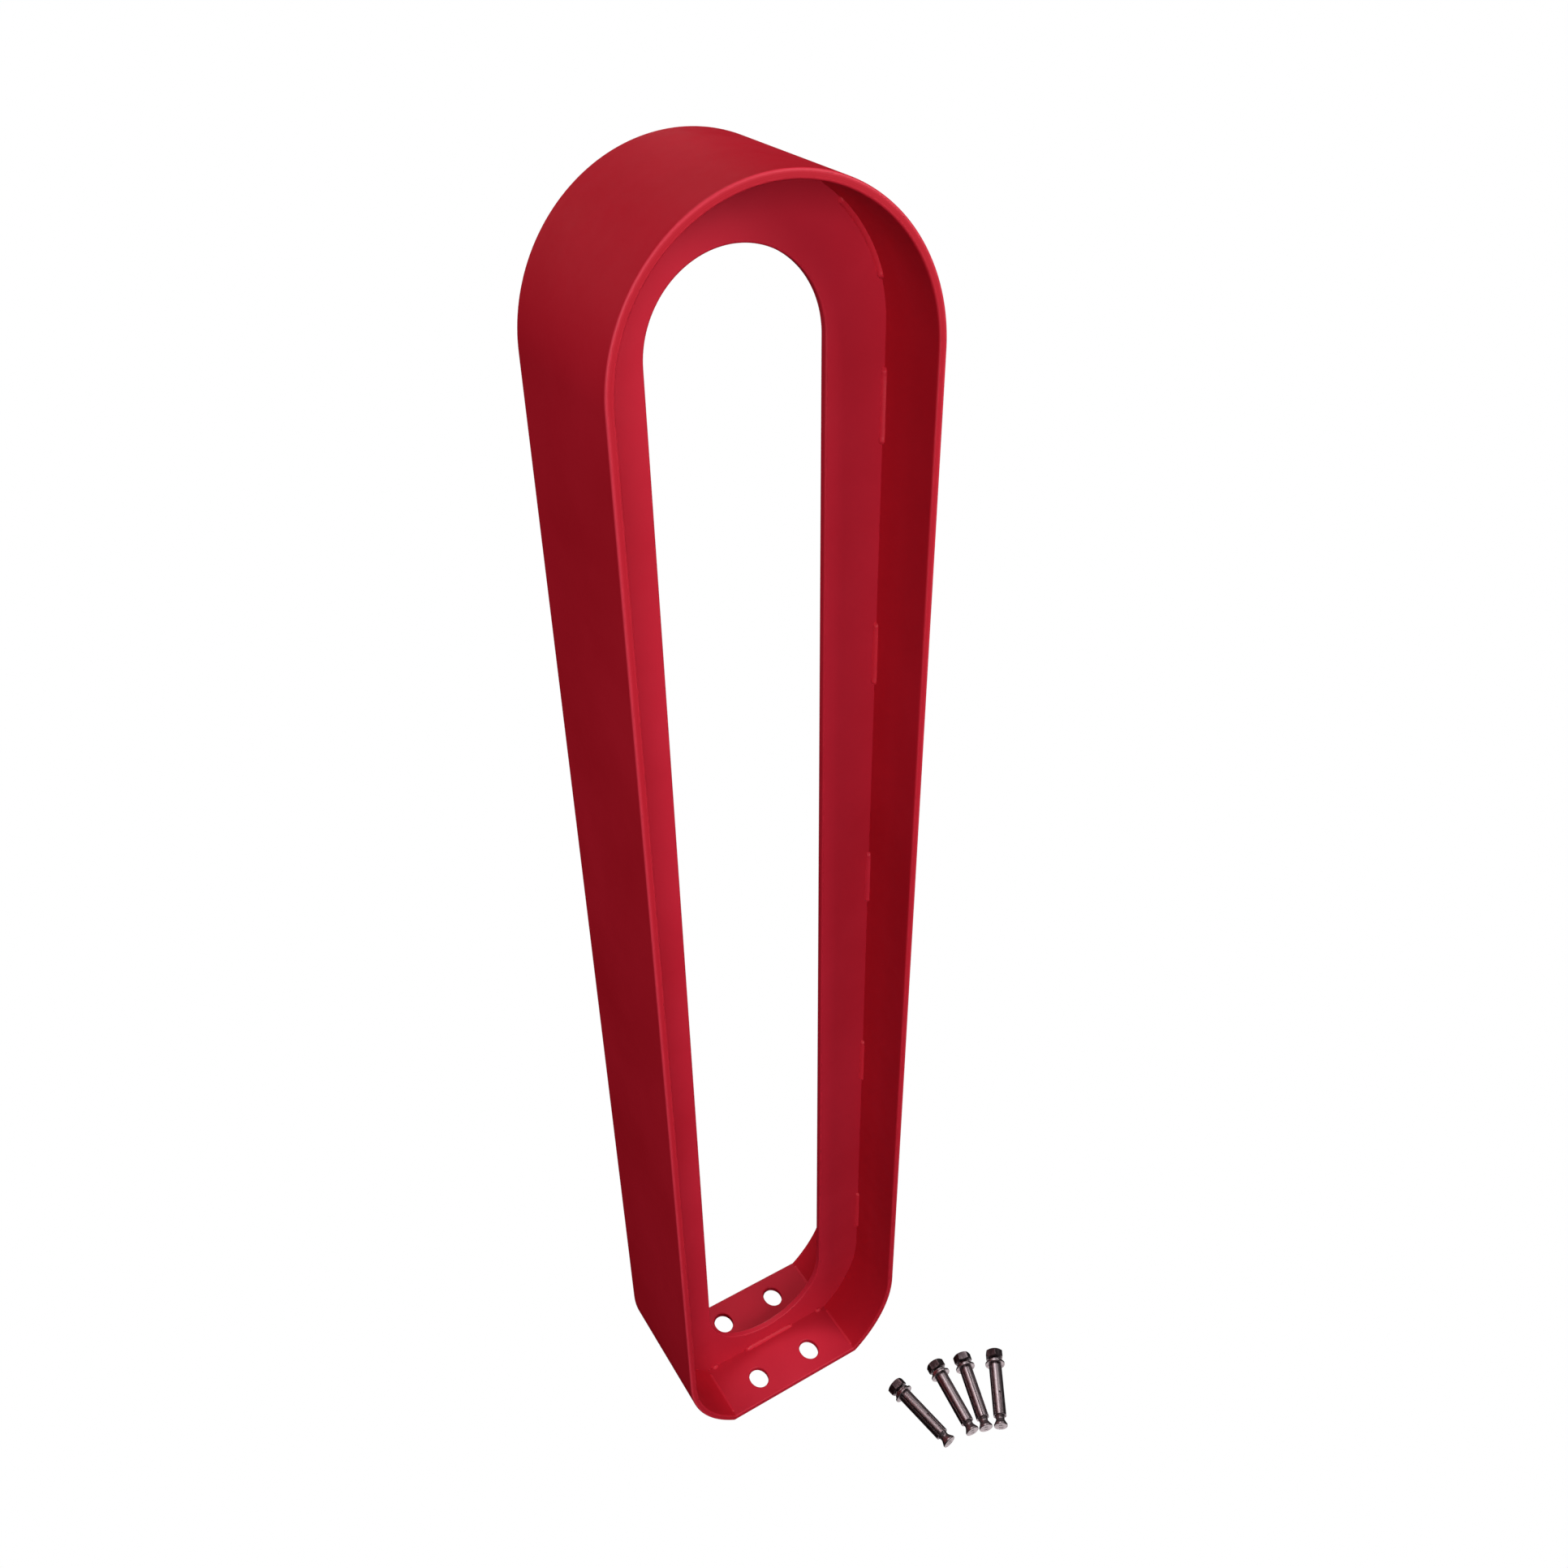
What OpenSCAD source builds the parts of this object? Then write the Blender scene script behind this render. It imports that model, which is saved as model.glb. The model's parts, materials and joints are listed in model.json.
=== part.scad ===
// Bolt-down bicycle parking hoop with four sleeve anchors.
// Millimetres. X is the hoop's width, Y its depth (front is -Y), Z is up.
// The origin is the centre of the slot pattern, on the underside of the foot.

/* [Hoop] */

// Overall height of the hoop
hoop_height = 930; // [600:10:1200]

// Overall width, which is also the diameter of the top bend
hoop_width = 186; // [140:2:300]

// Depth of the hoop, which is the width of the flat bar
bar_width = 100; // [60:5:150]

// Thickness of the flat bar
bar_thickness = 5; // [4:0.5:10]

// Width of the flat foot on the floor
foot_width = 116; // [90:2:180]

/* [Web] */

// Thickness of the ring plate inside the hoop
web_thickness = 5; // [3:0.5:8]

// Distance from the bar's inner face to the opening
web_border = 37; // [20:1:60]

/* [Floor fixing] */

// Distance between slots across the foot
slot_spacing_x = 48; // [40:1:90]

// Distance between slots along the foot's depth
slot_spacing_y = 60; // [40:1:110]

// Width of each slot
slot_width = 14; // [9:0.5:18]

// End-to-end length of each slot, along the depth
slot_length = 18.5; // [10:0.5:26]

/* [Welds] */

// Leg of the fillet stitches between web and bar
fillet_leg = 2.25; // [1.5:0.25:5]

// Radius of the thin seam where the bar meets the foot plate
seam_radius = 1.1; // [0.8:0.1:2.5]

// Distance from each seam's end to the foot's front or back edge
seam_inset = 4.5; // [0:0.5:10]

// Length of each straight stitch
stitch_length = 43; // [20:1:80]

// Heights of the straight stitches' centres above the floor
stitch_heights = [115, 291, 468, 641, 794];

// Start and end of the stitch over each shoulder, degrees above the side
shoulder_stitch = [16, 49];

/* [Anchor] */

// Length of the stud with its cone
anchor_length = 65; // [50:1:120]

// Thread diameter of the stud
thread_diameter = 8; // [6:1:12]

// Thread pitch
thread_pitch = 1.25; // [1:0.25:1.75]

// Outer diameter of the expansion sleeve
sleeve_diameter = 10.5; // [8:0.5:16]

// Length of the expansion sleeve
sleeve_length = 44; // [25:1:90]

// Distance from the stud's end to the sleeve
sleeve_start = 12.4; // [12:0.1:20]

// Diameter of the cone's flat end
cone_diameter = 11; // [9:0.5:17]

// Diameter of the neck between shank and cone
neck_diameter = 7; // [5:0.5:10]

// Width across the nut's flats
nut_flats = 13; // [10:0.5:19]

// Height of the nut
nut_height = 6.5; // [5:0.5:10]

// Outer diameter of the flat washer
flat_washer_diameter = 16; // [12:0.5:24]

// Thickness of the flat washer
flat_washer_thickness = 1.6; // [1:0.1:2.5]

// Outer diameter of the spring washer
spring_washer_diameter = 12.6; // [10:0.2:20]

// Thickness of the spring washer
spring_washer_thickness = 2; // [1.2:0.1:3]

// Radial clearance of everything that slides or turns on the stud
running_gap = 0.08; // [0.02:0.01:0.1]

// Width of the three expansion slits
slit_width = 0.9; // [0.5:0.1:1.5]

// Length of the three expansion slits
slit_length = 18; // [10:1:40]

// Width of the sleeve's rolled seam
seam_gap = 0.4; // [0.2:0.1:1]

/* [Hidden] */

$fn = 120;

// One row per anchor lying on the floor: cone end x, cone end y, direction,
// turn of the sleeve's slits, turn of the nut
anchor_rows = [
    [75.1, -160.8, -81.2, -13, 8],
    [95.9, -163.5, -96.8, 46, 22],
    [106.7, -167.1, -108.2, -60, 3],
    [117.6, -172.2, -122.3, -13, 30]
];

bend_radius = hoop_width / 2;
inner_radius = bend_radius - bar_thickness;
opening_radius = inner_radius - web_border;
top_centre = hoop_height - bend_radius;
low_centre = sqrt(bend_radius * bend_radius - foot_width * foot_width / 4);
inner_half = sqrt(inner_radius * inner_radius - (low_centre - bar_thickness) * (low_centre - bar_thickness));
half_web = web_thickness / 2;
half_bar = bar_width / 2;
stud_radius = thread_diameter / 2;
hole_radius = stud_radius + running_gap;
nut_start = 0.5;
flat_washer_start = sleeve_start - 0.1 - flat_washer_thickness;
spring_washer_start = flat_washer_start - 0.05 - spring_washer_thickness;
cone_start = sleeve_start + sleeve_length + 3.2;
cone_straight = 1.4;
flat_washer_end = flat_washer_start + flat_washer_thickness;
lean = atan2((flat_washer_diameter - cone_diameter) / 2, anchor_length - flat_washer_end);
red = [0.62, 0.06, 0.1];
red_weld = [0.66, 0.08, 0.12];
steel_dark = [0.36, 0.3, 0.32];
steel_mid = [0.46, 0.4, 0.42];

anchor_parts = ["stud", "sleeve", "flat_washer", "spring_washer", "nut"];

// Draws in the front view: x stays, y becomes height, z comes towards the front
module upright() {
    rotate([90, 0, 0]) children();
}

// A slot shape with round ends, both bends of one radius
module racetrack(r, low, high) {
    translate([0, low]) circle(r = r);
    translate([0, high]) circle(r = r);
    translate([-r, low]) square([2 * r, high - low]);
}

module foot_profile() {
    polygon([
        [-foot_width / 2, 0], [foot_width / 2, 0],
        [inner_half, bar_thickness], [-inner_half, bar_thickness]
    ]);
}

// Everything below the mitre between the bar's ends and the foot plate, whose
// line runs on past both of its corners
module below_foot() {
    step = foot_width / 2 - inner_half;
    near = inner_half - step;
    far = foot_width / 2 + step;
    polygon([
        [-far, -bar_thickness], [-near, 2 * bar_thickness], [near, 2 * bar_thickness], [far, -bar_thickness],
        [far, -hoop_width], [-far, -hoop_width]
    ]);
}

module hoop_band() {
    color(red) upright() translate([0, 0, -half_bar]) linear_extrude(bar_width) difference() {
        racetrack(bend_radius, low_centre, top_centre);
        racetrack(inner_radius, low_centre, top_centre);
        below_foot();
    }
}

module slot() {
    straight = slot_length - slot_width;
    rotate(90) translate([-straight / 2, 0]) union() {
        circle(d = slot_width);
        translate([straight, 0]) circle(d = slot_width);
        translate([0, -slot_width / 2]) square([straight, slot_width]);
    }
}

module foot_plate() {
    color(red) difference() {
        upright() translate([0, 0, -half_bar]) linear_extrude(bar_width) foot_profile();
        for (x = [-1, 1], y = [-1, 1])
            translate([x * slot_spacing_x / 2, y * slot_spacing_y / 2, -1])
                linear_extrude(bar_thickness + 2) slot();
    }
}

module web_plate() {
    color(red) upright() translate([0, 0, -half_web]) linear_extrude(web_thickness) difference() {
        racetrack(inner_radius, low_centre, top_centre);
        racetrack(opening_radius, low_centre, top_centre);
        translate([-hoop_width, bar_thickness - hoop_width]) square([2 * hoop_width, hoop_width]);
    }
}

// Quarter round that fills the corner at the origin towards -x and +y
module corner_bead(leg) {
    intersection() {
        circle(r = leg);
        translate([-leg - 1, 0]) square([leg + 1, leg + 1]);
    }
}

// Straight fillet up the right-hand leg, on the front of the web
module leg_stitch(low, high) {
    translate([inner_radius, low, half_web]) rotate([-90, 0, 0]) mirror([0, 1, 0])
        linear_extrude(high - low) corner_bead(fillet_leg);
}

// Fillet over the right-hand shoulder, on the front of the web
module shoulder_bead(from, to) {
    translate([0, top_centre, 0]) rotate(from) rotate_extrude(angle = to - from)
        translate([inner_radius, half_web]) corner_bead(fillet_leg);
}

// Fillet along the foot plate, on the front of the web
module foot_stitch(from, to) {
    translate([from, bar_thickness, half_web]) rotate([90, 0, 90])
        linear_extrude(to - from) intersection() {
            circle(r = fillet_leg);
            square(fillet_leg + 1);
        }
}

module web_welds() {
    for (side = [0, 1]) mirror([side, 0, 0]) {
        for (h = stitch_heights) leg_stitch(h - stitch_length / 2, h + stitch_length / 2);
        shoulder_bead(shoulder_stitch[0], shoulder_stitch[1]);
        foot_stitch(inner_half - 9, inner_half - 3);
    }
    foot_stitch(-21, 24);
}

module web_weld_front() {
    color(red_weld) upright() web_welds();
}

module web_weld_back() {
    color(red_weld) upright() mirror([0, 0, 1]) web_welds();
}

// Thin seam in the crease between the bar and the foot plate
module seam_weld(side) {
    run = half_bar - seam_inset - half_web - fillet_leg - 1.5;
    color(red_weld) upright() mirror([side, 0, 0]) for (front = [0, 1]) mirror([0, 0, front])
        translate([0, 0, half_bar - seam_inset - run]) linear_extrude(run) difference() {
            translate([inner_half, bar_thickness]) circle(r = seam_radius);
            difference() {
                translate([inner_half - 20, -20]) square([60, 60]);
                intersection() {
                    translate([0, low_centre]) circle(r = inner_radius, $fn = 960);
                    translate([inner_half - 20, bar_thickness]) square([60, 60]);
                }
            }
        }
}

// Moves a shape drawn along +z, stud end first, to where anchor i lies
module laid(i) {
    row = anchor_rows[i];
    translate([row[0], row[1], cone_diameter / 2 * cos(lean)])
        rotate([0, 90 + lean, row[2]]) translate([0, 0, -anchor_length]) children();
}

// Ridges of the thread, from the stud's end down to the given length
module thread_profile(length) {
    depth = 0.61 * thread_pitch;
    turns = floor((length - 1) / thread_pitch);
    polygon(concat(
        [[0, 0], [stud_radius - depth, 0]],
        [for (k = [0:turns - 1], e = [0, 1])
            [stud_radius - (e == 0 ? depth : 0), 0.6 + (k + e * 0.5) * thread_pitch]],
        [[stud_radius - depth, 0.6 + turns * thread_pitch], [stud_radius, length], [0, length]]
    ));
}

module anchor_stud(i) {
    color(steel_dark) laid(i) difference() {
        rotate_extrude() union() {
            thread_profile(sleeve_start + 1.6);
            translate([0, sleeve_start + 1.6]) square([stud_radius, cone_start - 3 - sleeve_start - 1.6]);
            polygon([
                [0, cone_start - 3], [stud_radius, cone_start - 3], [neck_diameter / 2, cone_start - 1.5],
                [neck_diameter / 2, cone_start], [cone_diameter / 2, anchor_length - cone_straight],
                [cone_diameter / 2, anchor_length], [0, anchor_length]
            ]);
        }
        translate([0, 0, anchor_length - 0.4]) cylinder(r1 = 2.2, r2 = 2.6, h = 1);
    }
}

module anchor_sleeve(i) {
    color(steel_mid) laid(i) translate([0, 0, sleeve_start]) difference() {
        cylinder(d = sleeve_diameter, h = sleeve_length);
        translate([0, 0, -1]) cylinder(r = hole_radius, h = sleeve_length + 2);
        rotate(180 + anchor_rows[i][3] + 60) translate([0, -seam_gap / 2, -1])
            cube([sleeve_diameter, seam_gap, sleeve_length + 2]);
        for (a = [0, 120, 240]) rotate(180 + anchor_rows[i][3] + a) {
            translate([0, -slit_width / 2, sleeve_length - slit_length])
                cube([sleeve_diameter, slit_width, slit_length + 1]);
            translate([0, 0, sleeve_length - slit_length]) rotate([0, 90, 0])
                cylinder(r = slit_width, h = sleeve_diameter);
        }
    }
}

module anchor_flat_washer(i) {
    color(steel_mid) laid(i) translate([0, 0, flat_washer_start]) difference() {
        cylinder(d = flat_washer_diameter, h = flat_washer_thickness);
        translate([0, 0, -1]) cylinder(r = hole_radius, h = flat_washer_thickness + 2);
    }
}

module anchor_spring_washer(i) {
    color(steel_dark) laid(i) translate([0, 0, spring_washer_start]) difference() {
        cylinder(d = spring_washer_diameter, h = spring_washer_thickness);
        translate([0, 0, -1]) cylinder(r = hole_radius, h = spring_washer_thickness + 2);
        rotate(200) translate([0, -0.5, -1]) rotate([18, 0, 0])
            cube([spring_washer_diameter, 1, spring_washer_thickness + 4]);
    }
}

module anchor_nut(i) {
    across = nut_flats / cos(30);
    color(steel_dark) laid(i) translate([0, 0, nut_start]) rotate(anchor_rows[i][4]) difference() {
        intersection() {
            cylinder(d = across, h = nut_height, $fn = 6);
            union() {
                cylinder(r1 = nut_flats / 2 * 0.98, r2 = across / 2 + 0.05, h = 0.7);
                translate([0, 0, 0.7]) cylinder(r = across / 2 + 0.05, h = nut_height - 1.4);
                translate([0, 0, nut_height - 0.7])
                    cylinder(r1 = across / 2 + 0.05, r2 = nut_flats / 2 * 0.98, h = 0.7);
            }
        }
        translate([0, 0, -1]) cylinder(r = hole_radius, h = nut_height + 2);
    }
}

hoop_band();
foot_plate();
web_plate();
web_weld_front();
web_weld_back();
seam_weld(1);  // seam_weld_left
seam_weld(0);  // seam_weld_right
for (i = [0:len(anchor_rows) - 1]) {
    name = str("anchor_", i + 1, "_");
    anchor_stud(i);
    anchor_sleeve(i);
    anchor_flat_washer(i);
    anchor_spring_washer(i);
    anchor_nut(i);
}
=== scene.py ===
"""The looks of a bolt-down bicycle parking hoop and four loose sleeve anchors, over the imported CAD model."""

import json
import math
import random

import bmesh
import bpy
from mathutils import Matrix, Vector


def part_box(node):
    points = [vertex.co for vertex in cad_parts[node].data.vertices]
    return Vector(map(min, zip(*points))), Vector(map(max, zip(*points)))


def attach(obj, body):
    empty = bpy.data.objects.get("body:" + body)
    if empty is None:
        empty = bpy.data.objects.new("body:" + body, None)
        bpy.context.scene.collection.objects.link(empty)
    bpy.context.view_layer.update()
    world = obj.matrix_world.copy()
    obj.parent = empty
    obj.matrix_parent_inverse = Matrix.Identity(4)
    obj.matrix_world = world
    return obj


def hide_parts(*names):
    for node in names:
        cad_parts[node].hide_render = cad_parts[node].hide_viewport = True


MM = 0.001

# ---------------------------------------------------------------- frame and driving sizes

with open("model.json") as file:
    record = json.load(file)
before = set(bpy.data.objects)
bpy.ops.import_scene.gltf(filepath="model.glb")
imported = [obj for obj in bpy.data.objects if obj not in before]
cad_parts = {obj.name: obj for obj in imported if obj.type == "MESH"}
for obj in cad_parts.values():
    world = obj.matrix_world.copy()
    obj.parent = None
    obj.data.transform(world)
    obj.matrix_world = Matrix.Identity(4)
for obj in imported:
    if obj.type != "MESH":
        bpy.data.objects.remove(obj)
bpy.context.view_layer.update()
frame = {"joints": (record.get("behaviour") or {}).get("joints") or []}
joints = {j["name"]: j for j in frame["joints"]}

band_low, band_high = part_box("hoop_band")
_, foot_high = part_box("foot_plate")
_, web_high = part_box("web_plate")

BEND = (band_high.x - band_low.x) / 2
HEIGHT = 930 * MM
HALF_DEPTH = band_high.y
THICK = foot_high.z
FOOT_HALF = foot_high.x
INNER = BEND - THICK
WEB_HALF = web_high.y
WEB_BORDER = 37 * MM
OPENING = INNER - WEB_BORDER
TOP_CENTRE = HEIGHT - BEND
LOW_CENTRE = math.sqrt(BEND**2 - FOOT_HALF**2)
INNER_HALF = math.sqrt(INNER**2 - (LOW_CENTRE - THICK) ** 2)

EDGE_ROUND = 1.2 * MM
CUT_ROUND = 1.1 * MM
FILLET_LEG = 2.25 * MM
SEAM_RADIUS = 1.1 * MM
SEAM_INSET = 4.5 * MM
SEAM_CLEARANCE = 1.5 * MM
CORNER_TACK = (3 * MM, 9 * MM)
STITCH_LENGTH = 43 * MM
STITCH_HEIGHTS = [h * MM for h in (115, 291, 468, 641, 794)]
SHOULDER_STITCH = (16, 49)
FOOT_STITCH = (-21, 24)

SLOT_SPACING_X = 48 * MM
SLOT_SPACING_Y = 60 * MM
SLOT_WIDTH = 14.6 * MM
SLOT_LENGTH = 18.8 * MM
SLOT_ROUND = 1.0 * MM

ANCHOR_LENGTH = 65 * MM
THREAD_RADIUS = 4 * MM
THREAD_PITCH = 1.25 * MM
THREAD_TOP = 0.05 * MM
BORE_RADIUS = 4.08 * MM
NUT_START = 0.5 * MM
NUT_FLATS = 13 * MM
NUT_HEIGHT = 6.5 * MM
SLEEVE_START = 12.4 * MM
THREAD_END = SLEEVE_START + 1.2 * MM
SLEEVE_LENGTH = 44 * MM
SLEEVE_RADIUS = 5.25 * MM
FLAT_WASHER_START = 10.7 * MM
FLAT_WASHER_THICK = 1.6 * MM
FLAT_WASHER_RADIUS = 8 * MM
SPRING_WASHER_START = 8.65 * MM
SPRING_WASHER_THICK = 2 * MM
SPRING_WASHER_RADIUS = 6.3 * MM
CONE_START = 59.6 * MM
CONE_RADIUS = 5.5 * MM
CONE_STRAIGHT = 1.4 * MM
NECK_RADIUS = 3.5 * MM
SLIT_WIDTH = 0.9 * MM
SLIT_LENGTH = 18 * MM
SEAM_GAP = 0.4 * MM
SEAM_AT = 60
SLITS_AT = (0, 120, 240)
RELIEF_AT = SLEEVE_LENGTH - SLIT_LENGTH
SLIT_TURNS = (-13, 46, -60, -13)
NUT_TURNS = (8, 22, 3, 30)
NUT_MIDDLE = 3.75 * MM

SMOOTH_ANGLE = 35

# ---------------------------------------------------------------- mesh helpers


def shaded_object(name, mesh, bm, smooth_angle=SMOOTH_ANGLE):
    """A new object from a bmesh, with outward normals and smooth shading up to an angle."""
    bmesh.ops.recalc_face_normals(bm, faces=bm.faces)
    bm.to_mesh(mesh)
    bm.free()
    mesh.polygons.foreach_set("use_smooth", [True] * len(mesh.polygons))
    mesh.set_sharp_from_angle(angle=math.radians(smooth_angle))
    obj = bpy.data.objects.new(name, mesh)
    bpy.context.scene.collection.objects.link(obj)
    return obj


def mesh_object(name, verts, faces, smooth_angle=SMOOTH_ANGLE):
    """A new object from vertices and faces, with doubled vertices merged."""
    mesh = bpy.data.meshes.new(name)
    mesh.from_pydata([tuple(v) for v in verts], [], faces)
    bm = bmesh.new()
    bm.from_mesh(mesh)
    bmesh.ops.remove_doubles(bm, verts=bm.verts, dist=0.004 * MM)
    bmesh.ops.dissolve_degenerate(bm, edges=bm.edges, dist=0.002 * MM)
    return shaded_object(name, mesh, bm, smooth_angle)


def apply_modifiers(obj):
    """Replaces the object's mesh with its evaluated mesh."""
    depsgraph = bpy.context.evaluated_depsgraph_get()
    mesh = bpy.data.meshes.new_from_object(obj.evaluated_get(depsgraph))
    obj.modifiers.clear()
    obj.data = mesh
    return obj


def ease_edges(obj, width, angle):
    """Bevels the edges that are sharper than an angle in degrees."""
    ease = obj.modifiers.new("ease", "BEVEL")
    ease.width = width
    ease.segments = 2
    ease.limit_method = "ANGLE"
    ease.angle_limit = math.radians(angle)
    return apply_modifiers(obj)


def steady_normals(obj):
    """Keeps broad faces flat beside narrow rounded edges."""
    weighted = obj.modifiers.new("normals", "WEIGHTED_NORMAL")
    weighted.mode = "FACE_AREA"
    weighted.weight = 90
    weighted.keep_sharp = True
    return apply_modifiers(obj)


def grid_faces(rows, columns, closed_rows=False, closed_columns=False):
    """Quads over a rows x columns grid of vertices, stored row by row."""
    faces = []
    for i in range(rows if closed_rows else rows - 1):
        for j in range(columns if closed_columns else columns - 1):
            a, b = i % rows, (i + 1) % rows
            c, d = j % columns, (j + 1) % columns
            faces.append((a * columns + c, a * columns + d, b * columns + d, b * columns + c))
    return faces


def capped_tube(rings, width):
    """Faces round a row of closed rings of vertices, with both ends capped."""
    last = (rings - 1) * width
    faces = grid_faces(rings, width, closed_columns=True)
    return faces + [tuple(range(width)), tuple(last + j for j in range(width))]


def lathe(name, profile, columns, closed=True, radius_at=None, smooth_angle=SMOOTH_ANGLE):
    """Turns (radius, height) points about z: a closed profile is a ring, an open one is capped."""
    verts = []
    for r, z in profile:
        for j in range(columns):
            angle = 2 * math.pi * j / columns
            here = radius_at(r, z, angle) if radius_at else r
            verts.append((here * math.cos(angle), here * math.sin(angle), z))
    faces = grid_faces(len(profile), columns, closed_rows=closed, closed_columns=True)
    if not closed:
        for row in (0, len(profile) - 1):
            verts.append((0, 0, profile[row][1]))
            hub = len(verts) - 1
            faces += [(row * columns + j, row * columns + (j + 1) % columns, hub) for j in range(columns)]
    return mesh_object(name, verts, faces, smooth_angle)


def arc(cx, cy, r, start, end, steps):
    """Points on a circle from one angle to another, in degrees."""
    turn = [math.radians(start + (end - start) * k / steps) for k in range(steps + 1)]
    return [(cx + r * math.cos(a), cy + r * math.sin(a)) for a in turn]


# ---------------------------------------------------------------- the hoop


def band_profile():
    """The flat bar's section as (inward offset, depth) points, with rounded corners."""
    r = EDGE_ROUND
    steps = 5
    corners = [
        (r, -HALF_DEPTH + r, 180, 270),
        (THICK - r, -HALF_DEPTH + r, 270, 360),
        (THICK - r, HALF_DEPTH - r, 0, 90),
        (r, HALF_DEPTH - r, 90, 180),
    ]
    return [p for u, y, start, end in corners for p in arc(u, y, r, start, end, steps)]


def band_stations(inset, low_steps=20, leg_steps=24, top_steps=96):
    """(x, z) points along the hoop at one inward offset, from the left end over the top to the right end."""
    r = BEND - inset
    stop = math.degrees(math.asin((LOW_CENTRE - inset) / r))
    right_low = arc(0, LOW_CENTRE, r, -stop, 0, low_steps)
    leg = [(r, LOW_CENTRE + (TOP_CENTRE - LOW_CENTRE) * k / leg_steps) for k in range(1, leg_steps)]
    top = arc(0, TOP_CENTRE, r, 0, 180, top_steps)
    half = right_low + leg
    return half + top + [(-x, z) for x, z in reversed(half)]


def hoop_band():
    """The flat bar, bent round the hoop from one end of the foot to the other."""
    profile = band_profile()
    rails = [band_stations(u) for u, _ in profile]
    stations = len(rails[0])
    width = len(profile)
    verts = []
    for i in range(stations):
        for rail, (_, y) in zip(rails, profile):
            x, z = rail[i]
            verts.append((x, y, z))
    return steady_normals(mesh_object("hoop_band_bar", verts, capped_tube(stations, width)))


def slot_ring(x, y, grow, steps=64):
    """One slot's oval outline, grown outwards."""
    turns = [2 * math.pi * k / steps for k in range(steps)]
    across = SLOT_WIDTH / 2 + grow
    along = SLOT_LENGTH / 2 + grow
    return [(x + across * math.cos(t), y + along * math.sin(t)) for t in turns]


def fill_flat(bm, loops):
    """Fills the flat region between closed loops of bmesh vertices."""
    edges = []
    for loop in loops:
        for a, b in zip(loop, loop[1:] + loop[:1]):
            edges.append(bm.edges.get((a, b)) or bm.edges.new((a, b)))
    bmesh.ops.triangle_fill(bm, use_beauty=True, use_dissolve=False, edges=edges)


def slot_wall(bm, x, y):
    """One slot's wall with eased edges. Returns its upper and lower loops of vertices."""
    turns = [math.pi / 2 * k / 5 for k in range(6)]
    upper = [(SLOT_ROUND * (1 - math.sin(t)), THICK - SLOT_ROUND * (1 - math.cos(t))) for t in turns]
    rows = upper + [(grow, THICK - z) for grow, z in reversed(upper)]
    rings = [[bm.verts.new((px, py, z)) for px, py in slot_ring(x, y, grow)] for grow, z in rows]
    for above, below in zip(rings, rings[1:]):
        for k in range(len(above)):
            n = (k + 1) % len(above)
            bm.faces.new((above[k], above[n], below[n], below[k]))
    return rings[0], rings[-1]


def foot_rail(bm, points, side):
    """One mitred end's vertices along a rounded edge, set on the line between the bar's bends."""
    rail = []
    for y, z in points:
        half = math.sqrt((BEND - z) ** 2 - (LOW_CENTRE - z) ** 2)
        rail.append(bm.verts.new((side * half, y, z)))
    return rail


def foot_plate():
    """The foot: front and back edges rounded as on the bar, mitred ends, and four slots with eased edges."""
    bm = bmesh.new()
    r = EDGE_ROUND
    front_edge = arc(-HALF_DEPTH + r, r, r, 270, 180, 5) + arc(-HALF_DEPTH + r, THICK - r, r, 180, 90, 5)
    back_edge = [(-y, z) for y, z in reversed(front_edge)]
    front = [foot_rail(bm, front_edge, side) for side in (-1, 1)]
    back = [foot_rail(bm, back_edge, side) for side in (-1, 1)]
    for left, right in (front, back):
        for k in range(len(left) - 1):
            bm.faces.new((left[k], left[k + 1], right[k + 1], right[k]))
    for front_rail, back_rail in zip(front, back):
        bm.faces.new(front_rail + back_rail)
    top_holes = []
    bottom_holes = []
    for x in (-SLOT_SPACING_X / 2, SLOT_SPACING_X / 2):
        for y in (-SLOT_SPACING_Y / 2, SLOT_SPACING_Y / 2):
            upper, lower = slot_wall(bm, x, y)
            top_holes.append(upper)
            bottom_holes.append(lower)
    fill_flat(bm, [[front[0][-1], front[1][-1], back[1][0], back[0][0]]] + top_holes)
    fill_flat(bm, [[front[0][0], front[1][0], back[1][-1], back[0][-1]]] + bottom_holes)
    name = "foot_plate_slotted"
    return steady_normals(shaded_object(name, bpy.data.meshes.new(name), bm))


def web_stations():
    """(direction, centre height) of the rays that run round the ring, across its width."""
    corner = math.degrees(math.asin((LOW_CENTRE - THICK) / INNER))
    top = [(math.radians(180 * k / 72), TOP_CENTRE) for k in range(73)]
    low = [corner * k / 14 for k in range(15)] + [corner + (90 - corner) * k / 16 for k in range(1, 17)]
    low += [180 - a for a in reversed(low[:-1])]
    legs = 24
    rise = TOP_CENTRE - LOW_CENTRE
    left = [(math.pi, TOP_CENTRE - rise * k / legs) for k in range(1, legs)]
    bottom = [(math.radians(180 + a), LOW_CENTRE) for a in low]
    right = [(0.0, LOW_CENTRE + rise * k / legs) for k in range(1, legs)]
    return top + left + bottom + right


def web_reach(slope, centre):
    """How far a ray runs before it meets the bar or the foot plate."""
    if slope >= 0 or centre > LOW_CENTRE:
        return INNER
    return min(INNER, (centre - THICK) / -slope)


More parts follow.
